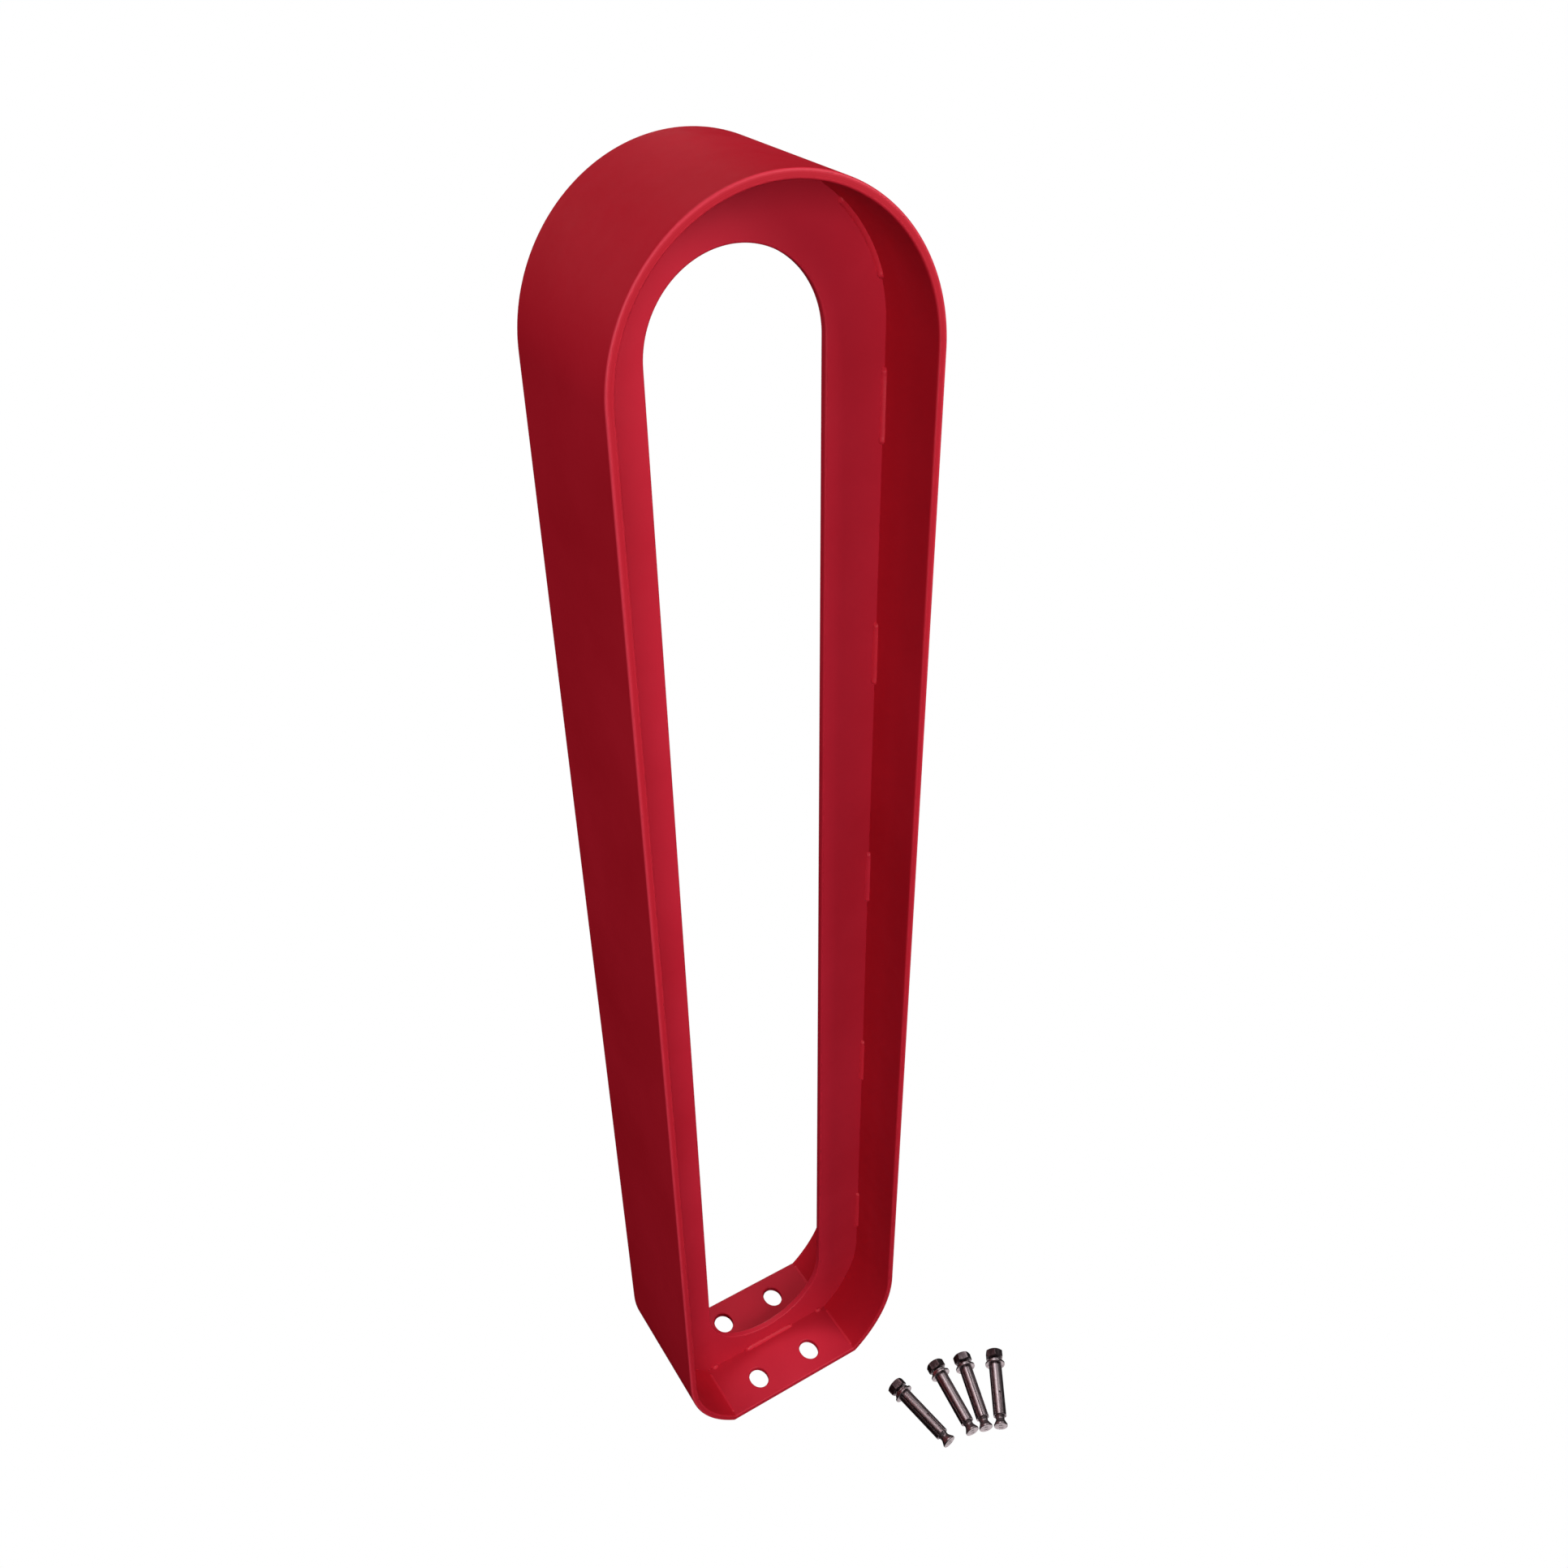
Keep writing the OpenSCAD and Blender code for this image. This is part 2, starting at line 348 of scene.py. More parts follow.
def web_plate():
    """The ring plate with its opening's edges eased. A section point None is the ring's outer end."""
    r = CUT_ROUND
    border = OPENING + 12 * MM
    edge = arc(OPENING + r, -WEB_HALF + r, r, 270, 180, 4)
    section = [(None, -WEB_HALF), (border, -WEB_HALF)] + edge
    section += [(p, -y) for p, y in reversed(section)]
    verts = []
    for angle, centre in web_stations():
        dx, dz = math.cos(angle), math.sin(angle)
        reach = web_reach(dz, centre)
        for p, y in section:
            length = reach if p is None else p
            verts.append((length * dx, y, centre + length * dz))
    count = len(verts) // len(section)
    faces = grid_faces(count, len(section), closed_rows=True, closed_columns=True)
    return steady_normals(mesh_object("web_plate_ring", verts, faces))


# ---------------------------------------------------------------- welds

BEAD_STEP = 0.34 * MM
BEAD_RIPPLE = 2.1 * MM
BEAD_WANDER = 9 * MM


def bead(stations, leg, seed):
    """One weld bead's vertices and faces. A station is a distance, a point of the corner, and the
    directions of the corner's two faces. The bead starts small, swells to a knob and runs on in ripples."""
    rng = random.Random(seed)
    phase = rng.random()
    sway = rng.uniform(0.5, 1.0)
    total = stations[-1][0]
    columns = 9
    verts = []
    for s, corner, a, b in stations:
        from_end = min(s, total - s)
        taper = min(1.0, math.sqrt(max(0.0, from_end) / (0.9 * leg)))
        knob = 0.16 * math.exp(-(((from_end - 1.1 * leg) / (0.8 * leg)) ** 2))
        wave = (s / BEAD_RIPPLE + phase) % 1.0
        wander = 1 + 0.03 * math.sin(s / BEAD_WANDER * sway + 5 * phase)
        row = [corner]
        for k in range(columns):
            turn = math.pi / 2 * k / (columns - 1)
            r = leg * wander * (0.35 + 0.65 * taper) * (1 - 0.1 * math.sin(2 * turn))
            if 0 < k < columns - 1:
                r *= 1 + knob - 0.04 * wave
            lift = max(0.06, taper)
            pa, pb = r * math.cos(turn), r * math.sin(turn)
            pa, pb = (pa, pb * lift) if pa > pb else (pa * lift, pb)
            row.append(corner + a * pa + b * pb)
        verts += row
    return verts, capped_tube(len(stations), columns + 1)


def straight_bead(start, end, a, b, leg, seed):
    """A bead along a straight corner, whose two faces run in directions a and b."""
    length = (end - start).length
    count = max(8, round(length / BEAD_STEP))
    stations = [(length * k / count, start.lerp(end, k / count), a, b) for k in range(count + 1)]
    return bead(stations, leg, seed)


def shoulder_bead(side, front, seed):
    """The stitch over one shoulder, along the top bend's inner corner."""
    first, last = (math.radians(a) for a in SHOULDER_STITCH)
    length = INNER * (last - first)
    count = round(length / BEAD_STEP)
    stations = []
    for k in range(count + 1):
        t = first + (last - first) * k / count
        ray = Vector((side * math.cos(t), 0, math.sin(t)))
        corner = Vector((0, front * WEB_HALF, TOP_CENTRE)) + ray * INNER
        stations.append((length * k / count, corner, -ray, Vector((0, front, 0))))
    return bead(stations, FILLET_LEG, seed)


def joined(name, parts):
    """One object from several (verts, faces) parts."""
    verts, faces = [], []
    for v, f in parts:
        base = len(verts)
        verts += v
        faces += [tuple(i + base for i in face) for face in f]
    return mesh_object(name, verts, faces, smooth_angle=60)


def web_weld(name, front, seed):
    """One face's stitches: up the legs, over the shoulders, two tacks at the foot's ends and one along it."""
    y = front * WEB_HALF
    out = Vector((0, front, 0))
    up = Vector((0, 0, 1))
    parts = []
    for side in (-1, 1):
        inward = Vector((-side, 0, 0))
        for n, h in enumerate(STITCH_HEIGHTS):
            a = Vector((side * INNER, y, h - STITCH_LENGTH / 2))
            b = Vector((side * INNER, y, h + STITCH_LENGTH / 2))
            parts.append(straight_bead(a, b, inward, out, FILLET_LEG, seed + 10 * n + side))
        parts.append(shoulder_bead(side, front, seed + 70 + side))
        near, far = (Vector((side * (INNER_HALF - inset), y, THICK)) for inset in CORNER_TACK)
        parts.append(straight_bead(far, near, up, out, FILLET_LEG, seed + 80 + side))
    start, end = (Vector((x * MM, y, THICK)) for x in FOOT_STITCH)
    parts.append(straight_bead(start, end, up, out, FILLET_LEG, seed + 90))
    return joined(name, parts)


def seam_weld(name, side, seed):
    """The thin seam in the crease between the bar's end and the foot."""
    inward = Vector((-side, 0, 0))
    radial = Vector((side * INNER_HALF, 0, THICK - LOW_CENTRE)).normalized()
    up_wall = Vector((-radial.z * side, 0, radial.x * side))
    clear = WEB_HALF + FILLET_LEG + SEAM_CLEARANCE
    parts = []
    for front in (-1, 1):
        a = Vector((side * INNER_HALF, front * clear, THICK))
        b = Vector((side * INNER_HALF, front * (HALF_DEPTH - SEAM_INSET), THICK))
        parts.append(straight_bead(a, b, inward, up_wall, SEAM_RADIUS, seed + front))
    return joined(name, parts)


# ---------------------------------------------------------------- the anchors


def anchor_place(index):
    """The matrix that lays a piece drawn along +z, stud end first, where CAD has anchor number index."""
    turn = joints[f"anchor_{index}_nut_turn"]
    along = Vector(turn["axis"]).normalized()
    start = Vector(turn["pos_m"]) - along * NUT_MIDDLE
    down = -(Vector((0, 0, 1)) - along * along.z).normalized()
    across = along.cross(down)
    basis = Matrix((down, across, along)).transposed().to_4x4()
    return Matrix.Translation(start) @ basis


def thread_radius(r, z, angle):
    """The thread's radius at one height and angle: a right-hand 60-degree ridge on the marked rows."""
    if not THREAD_TOP < z < THREAD_END:
        return r
    depth = 0.61 * THREAD_PITCH
    wave = (z / THREAD_PITCH + angle / (2 * math.pi)) % 1.0
    ridge = 1 - abs(2 * wave - 1)
    ridge = min(1.0, max(0.0, (ridge - 0.1) / 0.8))
    fade = min(1.0, (z - THREAD_TOP) / THREAD_PITCH, (THREAD_END - z) / THREAD_PITCH)
    return min(r, THREAD_RADIUS - depth * (1 - ridge) * fade)


def stud(name):
    """Threaded stud, neck and expansion cone, with a ring pressed into the cone's flat end."""
    lead = 0.9 * MM
    profile = [(THREAD_RADIUS - 1.0 * MM, 0.0)]
    rows = round(THREAD_END / (THREAD_PITCH / 12))
    for k in range(1, rows + 1):
        z = THREAD_END * k / rows
        profile.append((min(THREAD_RADIUS, THREAD_RADIUS - lead + z), z))
    shank_end = CONE_START - 3 * MM
    profile += [(THREAD_RADIUS, shank_end), (NECK_RADIUS + 0.12 * MM, shank_end + 1.3 * MM)]
    profile += [(NECK_RADIUS, shank_end + 1.7 * MM), (NECK_RADIUS, CONE_START - 0.5 * MM)]
    flare_end = ANCHOR_LENGTH - CONE_STRAIGHT
    for k in range(0, 9):
        t = k / 8
        flare = NECK_RADIUS + (CONE_RADIUS - NECK_RADIUS) * t**1.15
        profile.append((flare, CONE_START + (flare_end - CONE_START) * t))
    rim = 0.45 * MM
    profile += arc(CONE_RADIUS - rim, ANCHOR_LENGTH - rim, rim, 0, 90, 5)
    ring = ((3.2, 0.01), (2.6, 0.04), (2.3, 0.3), (2.0, 0.3), (1.7, 0.06), (0.9, 0.02))
    profile += [(radius * MM, ANCHOR_LENGTH - depth * MM) for radius, depth in ring]
    return lathe(name, profile, columns=72, closed=False, radius_at=thread_radius, smooth_angle=50)


def half_gap(z, slit):
    """Half the width of the open seam, or of a slit with its round relief end, at one height."""
    if not slit:
        return SEAM_GAP / 2
    inside = SLIT_WIDTH**2 - (z - RELIEF_AT) ** 2
    round_part = math.sqrt(inside) if inside > 0 else 0.0
    return max(round_part, SLIT_WIDTH / 2 if z > RELIEF_AT else 0.0)


def sleeve_skin(slit_turn):
    """Vertices and faces of the sleeve's outside, as panels between the seam and the slits."""
    even_rows = {round(SLEEVE_LENGTH * k / 60, 7) for k in range(61)}
    relief_rows = {round(RELIEF_AT + SLIT_WIDTH * math.cos(math.pi * k / 10), 7) for k in range(11)}
    rows = sorted(even_rows | relief_rows)
    places = [(180 + slit_turn + SEAM_AT, False)] + [(180 + slit_turn + a, True) for a in SLITS_AT]
    gaps = sorted((math.radians(degrees) % (2 * math.pi), slit) for degrees, slit in places)
    verts, faces = [], []
    for n, (angle, slit) in enumerate(gaps):
        after, after_slit = gaps[(n + 1) % len(gaps)]
        span = (after - angle) % (2 * math.pi)
        columns = max(6, round(span / math.radians(6)))
        base = len(verts)
        for z in rows:
            first = angle + half_gap(z, slit) / SLEEVE_RADIUS
            last = angle + span - half_gap(z, after_slit) / SLEEVE_RADIUS
            for k in range(columns + 1):
                t = first + (last - first) * k / columns
                verts.append((SLEEVE_RADIUS * math.cos(t), SLEEVE_RADIUS * math.sin(t), z))
        for i in range(len(rows) - 1):
            for k in range(columns):
                a = base + i * (columns + 1) + k
                faces.append((a, a + 1, a + columns + 2, a + columns + 1))
    return verts, faces


def face_outwards(obj):
    """Turns every face of an open skin round z away from the axis."""
    bm = bmesh.new()
    bm.from_mesh(obj.data)
    for face in bm.faces:
        c = face.calc_center_median()
        if face.normal.dot(Vector((c.x, c.y, 0))) < 0:
            face.normal_flip()
    bm.to_mesh(obj.data)
    bm.free()


def sleeve(name, slit_turn):
    """Rolled sleeve: an open seam down its length, and three slits with round ends from the cone end."""
    obj = mesh_object(name, *sleeve_skin(slit_turn))
    face_outwards(obj)
    wall = obj.modifiers.new("wall", "SOLIDIFY")
    wall.thickness = SLEEVE_RADIUS - BORE_RADIUS
    wall.offset = -1
    ease_edges(obj, 0.14 * MM, 50)
    obj.data.transform(Matrix.Translation((0, 0, SLEEVE_START)))
    return steady_normals(obj)


def flat_washer(name):
    """Stamped washer: one rim rolled over by the punch, the other nearly sharp."""
    roll, sharp, lead = 0.5 * MM, 0.15 * MM, 0.3 * MM
    outer, inner, high = FLAT_WASHER_RADIUS, BORE_RADIUS, FLAT_WASHER_THICK
    profile = arc(outer - roll, roll, roll, 270, 360, 6) + arc(outer - sharp, high - sharp, sharp, 0, 90, 3)
    profile += arc(inner + sharp, high - sharp, sharp, 90, 180, 3)
    profile += arc(inner + lead, lead, lead, 180, 270, 4)
    obj = lathe(name, [(r, z + FLAT_WASHER_START) for r, z in profile], columns=96)
    return steady_normals(obj)


def spring_washer(name, turn):
    """Split ring of square wire, its two cut ends sprung a little apart."""
    inner, outer = BORE_RADIUS + 0.05 * MM, SPRING_WASHER_RADIUS
    gap = math.radians(14)
    rise, dip = 0.9 * MM, 0.2 * MM
    steps = 72
    corner = 0.28 * MM
    high = SPRING_WASHER_THICK - 0.5 * MM
    section = []
    for cr, cz, start in ((outer - corner, corner, 270), (outer - corner, high - corner, 0),
                          (inner + corner, high - corner, 90), (inner + corner, corner, 180)):
        section += arc(cr, cz, corner, start, start + 90, 3)
    verts = []
    for k in range(steps + 1):
        t = gap / 2 + (2 * math.pi - gap) * k / steps
        spring = (k / steps) * rise - dip
        for r, z in section:
            verts.append((r * math.cos(t), r * math.sin(t), SPRING_WASHER_START + z + spring))
    obj = mesh_object(name, verts, capped_tube(steps + 1, len(section)))
    obj.data.transform(Matrix.Rotation(math.radians(turn), 4, "Z"))
    return steady_normals(obj)


def nut(name, turn):
    """Hexagon nut chamfered at both ends, with an eased bore."""
    flat = NUT_FLATS / 2
    face = flat * 0.965
    chamfer = math.tan(math.radians(30))
    lead = 0.45 * MM
    verts = []
    columns = 72
    for j in range(columns):
        t = 2 * math.pi * j / columns
        hexagon = flat / math.cos((t + math.pi / 6) % (math.pi / 3) - math.pi / 6)
        drop = (hexagon - face) * chamfer
        section = [
            (BORE_RADIUS, lead), (BORE_RADIUS + lead, 0), (face, 0), (hexagon, drop),
            (hexagon, NUT_HEIGHT - drop), (face, NUT_HEIGHT), (BORE_RADIUS + lead, NUT_HEIGHT),
            (BORE_RADIUS, NUT_HEIGHT - lead),
        ]
        verts += [(r * math.cos(t), r * math.sin(t), z + NUT_START) for r, z in section]
    faces = grid_faces(columns, len(section), closed_rows=True, closed_columns=True)
    obj = mesh_object(name, verts, faces, smooth_angle=20)
    ease_edges(obj, 0.16 * MM, 20)
    obj.data.transform(Matrix.Rotation(math.radians(turn), 4, "Z"))
    return steady_normals(obj)


# ---------------------------------------------------------------- materials


class Nodes:
    """A small wrapper that makes a node material readable."""

    def __init__(self, name):
        self.material = bpy.data.materials.new(name)
        self.material.use_nodes = True
        self.tree = self.material.node_tree
        self.shader = self.tree.nodes["Principled BSDF"]

    def add(self, kind, **settings):
        node = self.tree.nodes.new(kind)
        for key, value in settings.items():
            setattr(node, key, value)
        return node

    def link(self, source, target):
        self.tree.links.new(source, target)

    def set(self, **values):
        for key, value in values.items():
            self.shader.inputs[key.replace("_", " ")].default_value = value

    def place(self, scale=(1, 1, 1)):
        """Object coordinates, stretched."""
        coord = self.add("ShaderNodeTexCoord")
        mapping = self.add("ShaderNodeMapping")
        mapping.inputs["Scale"].default_value = scale
        self.link(coord.outputs["Object"], mapping.inputs["Vector"])
        return mapping.outputs["Vector"]

    def noise(self, vector, scale, detail=3.0, roughness=0.5):
        node = self.add("ShaderNodeTexNoise")
        node.inputs["Scale"].default_value = scale
        node.inputs["Detail"].default_value = detail
        node.inputs["Roughness"].default_value = roughness
        self.link(vector, node.inputs["Vector"])
        return node.outputs["Fac"]

    def ramp(self, value, low, high, start, end):
        """Maps a value from start..end to a colour or number range."""
        node = self.add("ShaderNodeMapRange")
        node.inputs["From Min"].default_value = start
        node.inputs["From Max"].default_value = end
        node.inputs["To Min"].default_value = low
        node.inputs["To Max"].default_value = high
        self.link(value, node.inputs["Value"])
        return node.outputs["Result"]

    def math(self, operation, a, b):
        node = self.add("ShaderNodeMath", operation=operation)
        for socket, value in zip(node.inputs, (a, b)):
            if isinstance(value, (int, float)):
                socket.default_value = value
            else:
                self.link(value, socket)
        return node.outputs["Value"]

    def mix(self, factor, a, b):
        node = self.add("ShaderNodeMix", data_type="RGBA")
        self.link(factor, node.inputs["Factor"])
        for socket, value in ((node.inputs[6], a), (node.inputs[7], b)):
            if isinstance(value, tuple):
                socket.default_value = (*value, 1)
            else:
                self.link(value, socket)
        return node.outputs[2]

    def bump(self, height, distance, strength=1.0, after=None):
        node = self.add("ShaderNodeBump")
        node.inputs["Distance"].default_value = distance
        node.inputs["Strength"].default_value = strength
        self.link(height, node.inputs["Height"])
        if after is not None:
            self.link(after, node.inputs["Normal"])
        return node.outputs["Normal"]


# Linear colours: the bar's coat; a duller, pinker copy of the same coat on the foot and web, its added pink a
# painted sheen for their lit faces, while the bar's copy keeps less pink as painted shade; the bar's rims; a
# painted highlight on the rims' outer edge; and the weld beads.
COAT_DEEP = (0.475, 0.0078, 0.019)
COAT_BRIGHT = (0.55, 0.0115, 0.027)
PLATE_SHEEN_DEEP = (0.475, 0.0125, 0.0285)
PLATE_SHEEN_BRIGHT = (0.55, 0.0185, 0.0405)
COAT_RIM = (0.53, 0.02, 0.039)
# A painted highlight, brighter and pinker than the rim, on its rounded outer edge.
RIM_EDGE_HIGHLIGHT = (0.66, 0.035, 0.062)
WELD_RED = (0.62, 0.02, 0.038)
COAT_GLOSS = 0.2
COAT_ROUGHNESS = (0.42, 0.52)
WELD_ROUGHNESS = (0.36, 0.46)
LINE_STRETCH = 0.02
EVEN_STREAK = (200, 200, 200)
LONG_STREAK = (440, 440, 7)
NUT_STREAK = (240, 240, 90)


def coat_colour(m, place, deep, bright):
    """Broad, faint clouds between two reds."""
    broad = m.noise(place, 9, detail=4.0)
    return m.mix(m.ramp(broad, 0, 1, 0.3, 0.7), deep, bright)


def coat_gloss(m, place, roughness):
    """The coat's sheen, a little uneven."""
    cloud = m.noise(place, 60, detail=3.0)
    m.link(m.ramp(cloud, roughness[0], roughness[1], 0.25, 0.75), m.shader.inputs["Roughness"])
    m.set(Specular_IOR_Level=COAT_GLOSS)


def orange_peel(m, place, after=None):
    """The low bumps of a sprayed and baked powder coat."""
    peel = m.noise(place, 420, detail=2.0, roughness=0.45)
    return m.bump(peel, 0.035 * MM, strength=0.55, after=after)


def powder_coat(name, bright, deep, roughness):
    """A plain powder coat: two reds, an uneven sheen, orange peel and fine grain."""
    m = Nodes(name)
    place = m.place()
    m.link(coat_colour(m, place, deep, bright), m.shader.inputs["Base Color"])
    coat_gloss(m, place, roughness)
    grain = m.noise(place, 2600, detail=1.0)
    normal = m.bump(grain, 0.006 * MM, strength=0.35, after=orange_peel(m, place))
    m.link(normal, m.shader.inputs["Normal"])
    return m.material


def bar_coat():
    """The bar's coat, with rims that show faint lines and a painted highlight along their outer edge."""
    m = Nodes("powder_coat_bar")
    place = m.place()
    base = coat_colour(m, place, COAT_DEEP, COAT_BRIGHT)
    across = m.add("ShaderNodeAttribute", attribute_name="across").outputs["Fac"]
    run = m.add("ShaderNodeAttribute", attribute_name="run").outputs["Fac"]
    rim = m.add("ShaderNodeAttribute", attribute_name="rim").outputs["Fac"]
    vector = m.add("ShaderNodeCombineXYZ")
    m.link(across, vector.inputs["X"])
    m.link(m.math("MULTIPLY", run, LINE_STRETCH), vector.inputs["Y"])
    lines = m.noise(vector.outputs["Vector"], 2.2, detail=3.0, roughness=0.6)
    lined = m.mix(m.ramp(lines, 0, 1, 0.35, 0.65), COAT_DEEP, COAT_RIM)
    # Painted highlight: the rim turns brighter towards the bar's outer edge, where the rounded edge would
    # catch the light.
    rim_with_highlight = m.mix(m.ramp(across, 1, 0, 0.7, 2.0), lined, RIM_EDGE_HIGHLIGHT)
    m.link(m.mix(rim, base, rim_with_highlight), m.shader.inputs["Base Color"])
    coat_gloss(m, place, COAT_ROUGHNESS)
    groove = m.bump(m.math("MULTIPLY", lines, rim), 0.12 * MM, strength=0.5)
    m.link(orange_peel(m, place, after=groove), m.shader.inputs["Normal"])
    return m.material


def steel(name, dark, light, roughness, metal, streak):
    """Zinc-plated steel: streaks or spots in the colour and the surface, and faint blotches in the gloss."""
    m = Nodes(name)
    streaks = m.noise(m.place(streak), 1.0, detail=2.0, roughness=0.5)
    blotch = m.noise(m.place(), 260, detail=2.0)
    tone = m.math("ADD", m.math("MULTIPLY", streaks, 0.85), m.math("MULTIPLY", blotch, 0.15))
    m.link(m.mix(m.ramp(tone, 0, 1, 0.4, 0.58), dark, light), m.shader.inputs["Base Color"])
    m.link(m.ramp(blotch, roughness[0], roughness[1], 0.3, 0.7), m.shader.inputs["Roughness"])
    m.link(m.bump(streaks, 0.006 * MM, strength=0.5), m.shader.inputs["Normal"])
    m.set(Metallic=metal)
    return m.material


def floor_paint():
    """Pure white by its own light, whatever falls on it."""
    m = Nodes("studio_floor")
    m.set(Base_Color=(0, 0, 0, 1), Roughness=0.9, Specular_IOR_Level=0.0)
    m.set(Emission_Color=(1, 1, 1, 1), Emission_Strength=1.0)
    return m.material


# ---------------------------------------------------------------- assembling the pieces


def finish_piece(obj, body, node, material):
    """Gives a piece its material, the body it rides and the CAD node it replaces."""
    obj.data.materials.clear()
    obj.data.materials.append(material)
    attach(obj, body)
    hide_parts(node)
    return obj


def mark_bar(obj):
    """Stores, for the bar's coat, how far along and across the bar each point is, and if it is on a rim."""
    run, across, rim = [], [], []
    for v in obj.data.vertices:
        x, y, z = v.co
        centre = min(max(z, LOW_CENTRE), TOP_CENTRE)
        radius = math.hypot(x, z - centre)
        run.append(centre + BEND * math.asin((z - centre) / radius))
        across.append((BEND - radius) / MM)
        rim.append(1.0 if abs(y) > HALF_DEPTH - 0.55 * EDGE_ROUND else 0.0)
    for name, values in (("run", run), ("across", across), ("rim", rim)):
        obj.data.attributes.new(name, "FLOAT", "POINT").data.foreach_set("value", values)


# The foot, the web and the welds' darker red take the plates' copy of the coat, with its painted sheen.
coat = powder_coat("powder_coat_red", PLATE_SHEEN_BRIGHT, PLATE_SHEEN_DEEP, COAT_ROUGHNESS)
weld_coat = powder_coat("powder_coat_weld", WELD_RED, PLATE_SHEEN_BRIGHT, WELD_ROUGHNESS)
stud_steel = steel("stud_steel", (0.36, 0.29, 0.305), (0.56, 0.465, 0.485), (0.36, 0.44), 0.85, LONG_STREAK)
sleeve_steel = steel("sleeve_steel", (0.1, 0.07, 0.077), (0.62, 0.51, 0.535), (0.36, 0.42), 0.8, LONG_STREAK)
washer_steel = steel("washer_steel", (0.34, 0.27, 0.285), (0.64, 0.54, 0.56), (0.34, 0.42), 0.85, EVEN_STREAK)
nut_steel = steel("nut_steel", (0.12, 0.085, 0.093), (0.36, 0.285, 0.3), (0.36, 0.42), 0.8, NUT_STREAK)

band = hoop_band()
mark_bar(band)
hoop = [
    (band, "hoop_band", "powder_coat", bar_coat()),
    (foot_plate(), "foot_plate", "powder_coat", coat),
    (web_plate(), "web_plate", "powder_coat", coat),
    (web_weld("web_weld_front_beads", -1, 100), "web_weld_front", "coated_weld", weld_coat),
    (web_weld("web_weld_back_beads", 1, 300), "web_weld_back", "coated_weld", weld_coat),
    (seam_weld("seam_weld_left_bead", -1, 500), "seam_weld_left", "coated_weld", weld_coat),
    (seam_weld("seam_weld_right_bead", 1, 520), "seam_weld_right", "coated_weld", weld_coat),
]
hoop_pieces = bpy.data.collections.new("hoop_pieces")
for obj, node, slot, material in hoop:
    finish_piece(obj, "rack", node, material)
    hoop_pieces.objects.link(obj)

anchor_pieces = bpy.data.collections.new("anchor_pieces")
for index in range(1, 5):
    prefix = f"anchor_{index}_"
    place = anchor_place(index)
    made = [
        (stud(prefix + "stud_threaded"), "stud", "stud", "stud_steel", stud_steel),
        (sleeve(prefix + "sleeve_rolled", SLIT_TURNS[index - 1]), "sleeve", "sleeve",
         "sleeve_steel", sleeve_steel),
        (flat_washer(prefix + "flat_washer_stamped"), "washers", "flat_washer",
         "washer_steel", washer_steel),
        (spring_washer(prefix + "spring_washer_split", 60 + 50 * index), "washers", "spring_washer",
         "washer_steel", washer_steel),
        (nut(prefix + "nut_hexagon", NUT_TURNS[index - 1]), "nut", "nut", "nut_steel", nut_steel),
    ]
    for obj, body, node, slot, material in made:
        obj.matrix_world = place
        finish_piece(obj, prefix + body, prefix + node, material)
        anchor_pieces.objects.link(obj)

# ---------------------------------------------------------------- stage, lights and camera

FLOOR_HALF = 8.0
LIGHT_DISTANCE = 2.3
LIGHT_WIDTH = 1.1
# Each light: azimuth, elevation, height, watts, and if its gloss shows. Azimuth 0 is in front of the hoop.
HOOP_LIGHTS = {
    "front_left": (-25, 19, 1.5, 35, True),
    "front_right": (45, 30, 1.1, 31, True),
    "left_fill": (-105, -10, 1.1, 7, False),
    "back_left": (-145, 30, 1.1, 6, False),
    "back_high": (178, 64, 1.1, 18, False),
    "back_sheen": (180, 64, 1.1, 4, True),
    "back_low": (170, 6, 1.1, 16, True),
}
ANCHOR_LIGHTS = {
    "anchor_sheen": (176, 62, 1.1, 20, True),
    "anchor_side": (100, 40, 0.5, 4, True),
    "anchor_front": (-20, 30, 0.5, 5, True),
}
CARD_MIDDLE = (0.3, -0.75, -0.6)
CARD_SIZE = (1.6, 1.1)
CARD_WATTS = 6.5
AIM = Vector((0, 0, 0.45))

CAMERA_AZIMUTH = -34.55
CAMERA_ELEVATION = 36.35
CAMERA_ROLL = 1.82
CAMERA_DISTANCE = 0.85875
CAMERA_SIDESTEP = 0.07302
CAMERA_AIM_HEIGHT = 0.55662
CAMERA_LENS = 32.212
CAMERA_SHIFT = (-0.05411, 0.01837)


def compass(azimuth, elevation):
    """The unit direction towards an azimuth and elevation; azimuth 0 is in front of the hoop."""
    a, e = math.radians(azimuth), math.radians(elevation)
    return Vector((math.sin(a) * math.cos(e), -math.cos(a) * math.cos(e), math.sin(e)))


def add_floor():
    """A white floor that is seen by the camera only."""
    corners = [(-FLOOR_HALF, -FLOOR_HALF, 0), (FLOOR_HALF, -FLOOR_HALF, 0)]
    corners += [(FLOOR_HALF, FLOOR_HALF, 0), (-FLOOR_HALF, FLOOR_HALF, 0)]
    floor = mesh_object("studio_floor", corners, [(0, 1, 2, 3)])
    floor.data.materials.append(floor_paint())
    floor.visible_diffuse = False
    floor.visible_glossy = False
    floor.visible_shadow = False


def add_light(name, width, height, watts, glossy=True):
    """An area light that the camera does not see, and that shows in glossy surfaces if asked."""
    light = bpy.data.lights.new(name, "AREA")
    light.shape = "RECTANGLE"
    light.size = width
    light.size_y = height
    light.energy = watts
    lamp = bpy.data.objects.new(name, light)
    lamp.visible_camera = False
    lamp.visible_glossy = glossy
    bpy.context.scene.collection.objects.link(lamp)
    return lamp


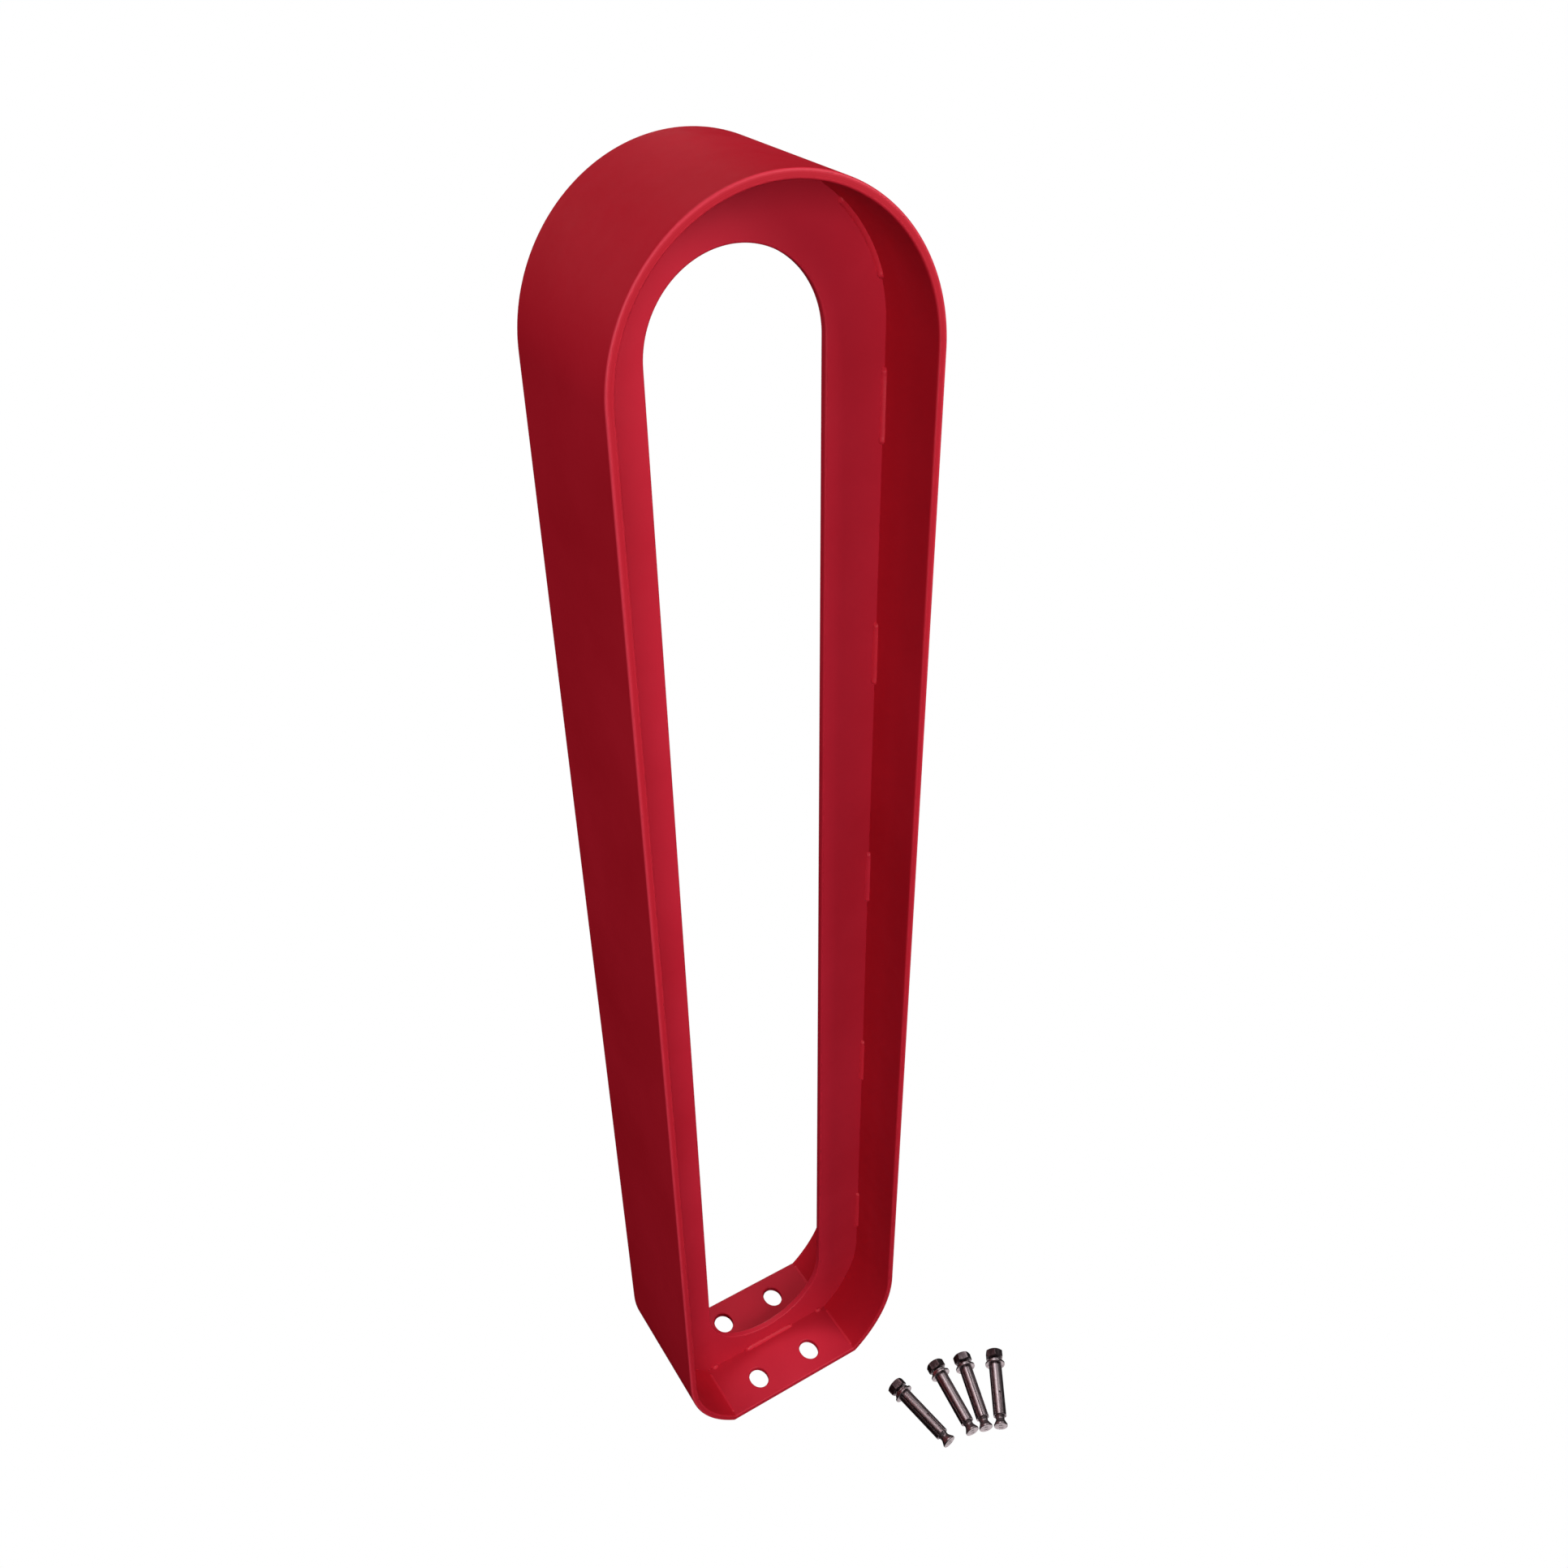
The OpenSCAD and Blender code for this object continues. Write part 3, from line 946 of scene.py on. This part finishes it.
def aim_light(name, azimuth, elevation, height, watts, glossy):
    """An area light on a compass bearing from the hoop, turned towards it."""
    lamp = add_light(name, LIGHT_WIDTH, height, watts, glossy)
    toward = compass(azimuth, elevation)
    lamp.location = AIM + toward * LIGHT_DISTANCE
    lamp.rotation_euler = toward.to_track_quat("Z", "Y").to_euler()
    return lamp


def add_lights(hoop, anchors):
    """The hoop and the anchors have their own lights. The anchors also have a white card below the floor."""
    for lights, lit in ((HOOP_LIGHTS, hoop), (ANCHOR_LIGHTS, anchors)):
        for name, placing in lights.items():
            aim_light(name, *placing).light_linking.receiver_collection = lit
    card = add_light("floor_card", *CARD_SIZE, CARD_WATTS)
    card.location = CARD_MIDDLE
    card.rotation_euler = (math.pi, 0, 0)
    card.visible_diffuse = False
    card.light_linking.receiver_collection = anchors


def add_camera():
    """The camera, placed by its bearing from a point near the hoop's axis, with roll and lens shift."""
    back = compass(CAMERA_AZIMUTH, CAMERA_ELEVATION)
    right = Vector((0, 0, 1)).cross(back).normalized()
    up = back.cross(right)
    tilt = math.radians(CAMERA_ROLL)
    x_axis = right * math.cos(tilt) + up * math.sin(tilt)
    y_axis = up * math.cos(tilt) - right * math.sin(tilt)
    place = Vector((0, 0, CAMERA_AIM_HEIGHT)) + right * CAMERA_SIDESTEP + back * CAMERA_DISTANCE
    data = bpy.data.cameras.new("camera")
    data.lens = CAMERA_LENS
    data.shift_x, data.shift_y = CAMERA_SHIFT
    data.clip_start = 0.01
    camera = bpy.data.objects.new("camera", data)
    camera.matrix_world = Matrix.Translation(place) @ Matrix((x_axis, y_axis, back)).transposed().to_4x4()
    bpy.context.scene.collection.objects.link(camera)
    bpy.context.scene.camera = camera


def set_world():
    """A white background that lights nothing and is in no reflection."""
    world = bpy.data.worlds.new("studio")
    bpy.context.scene.world = world
    world.use_nodes = True
    background = world.node_tree.nodes["Background"]
    background.inputs["Color"].default_value = (1, 1, 1, 1)
    background.inputs["Strength"].default_value = 1.0
    world.cycles_visibility.diffuse = False
    world.cycles_visibility.glossy = False


add_floor()
add_lights(hoop_pieces, anchor_pieces)
add_camera()
set_world()
bpy.context.scene.view_settings.view_transform = "Standard"
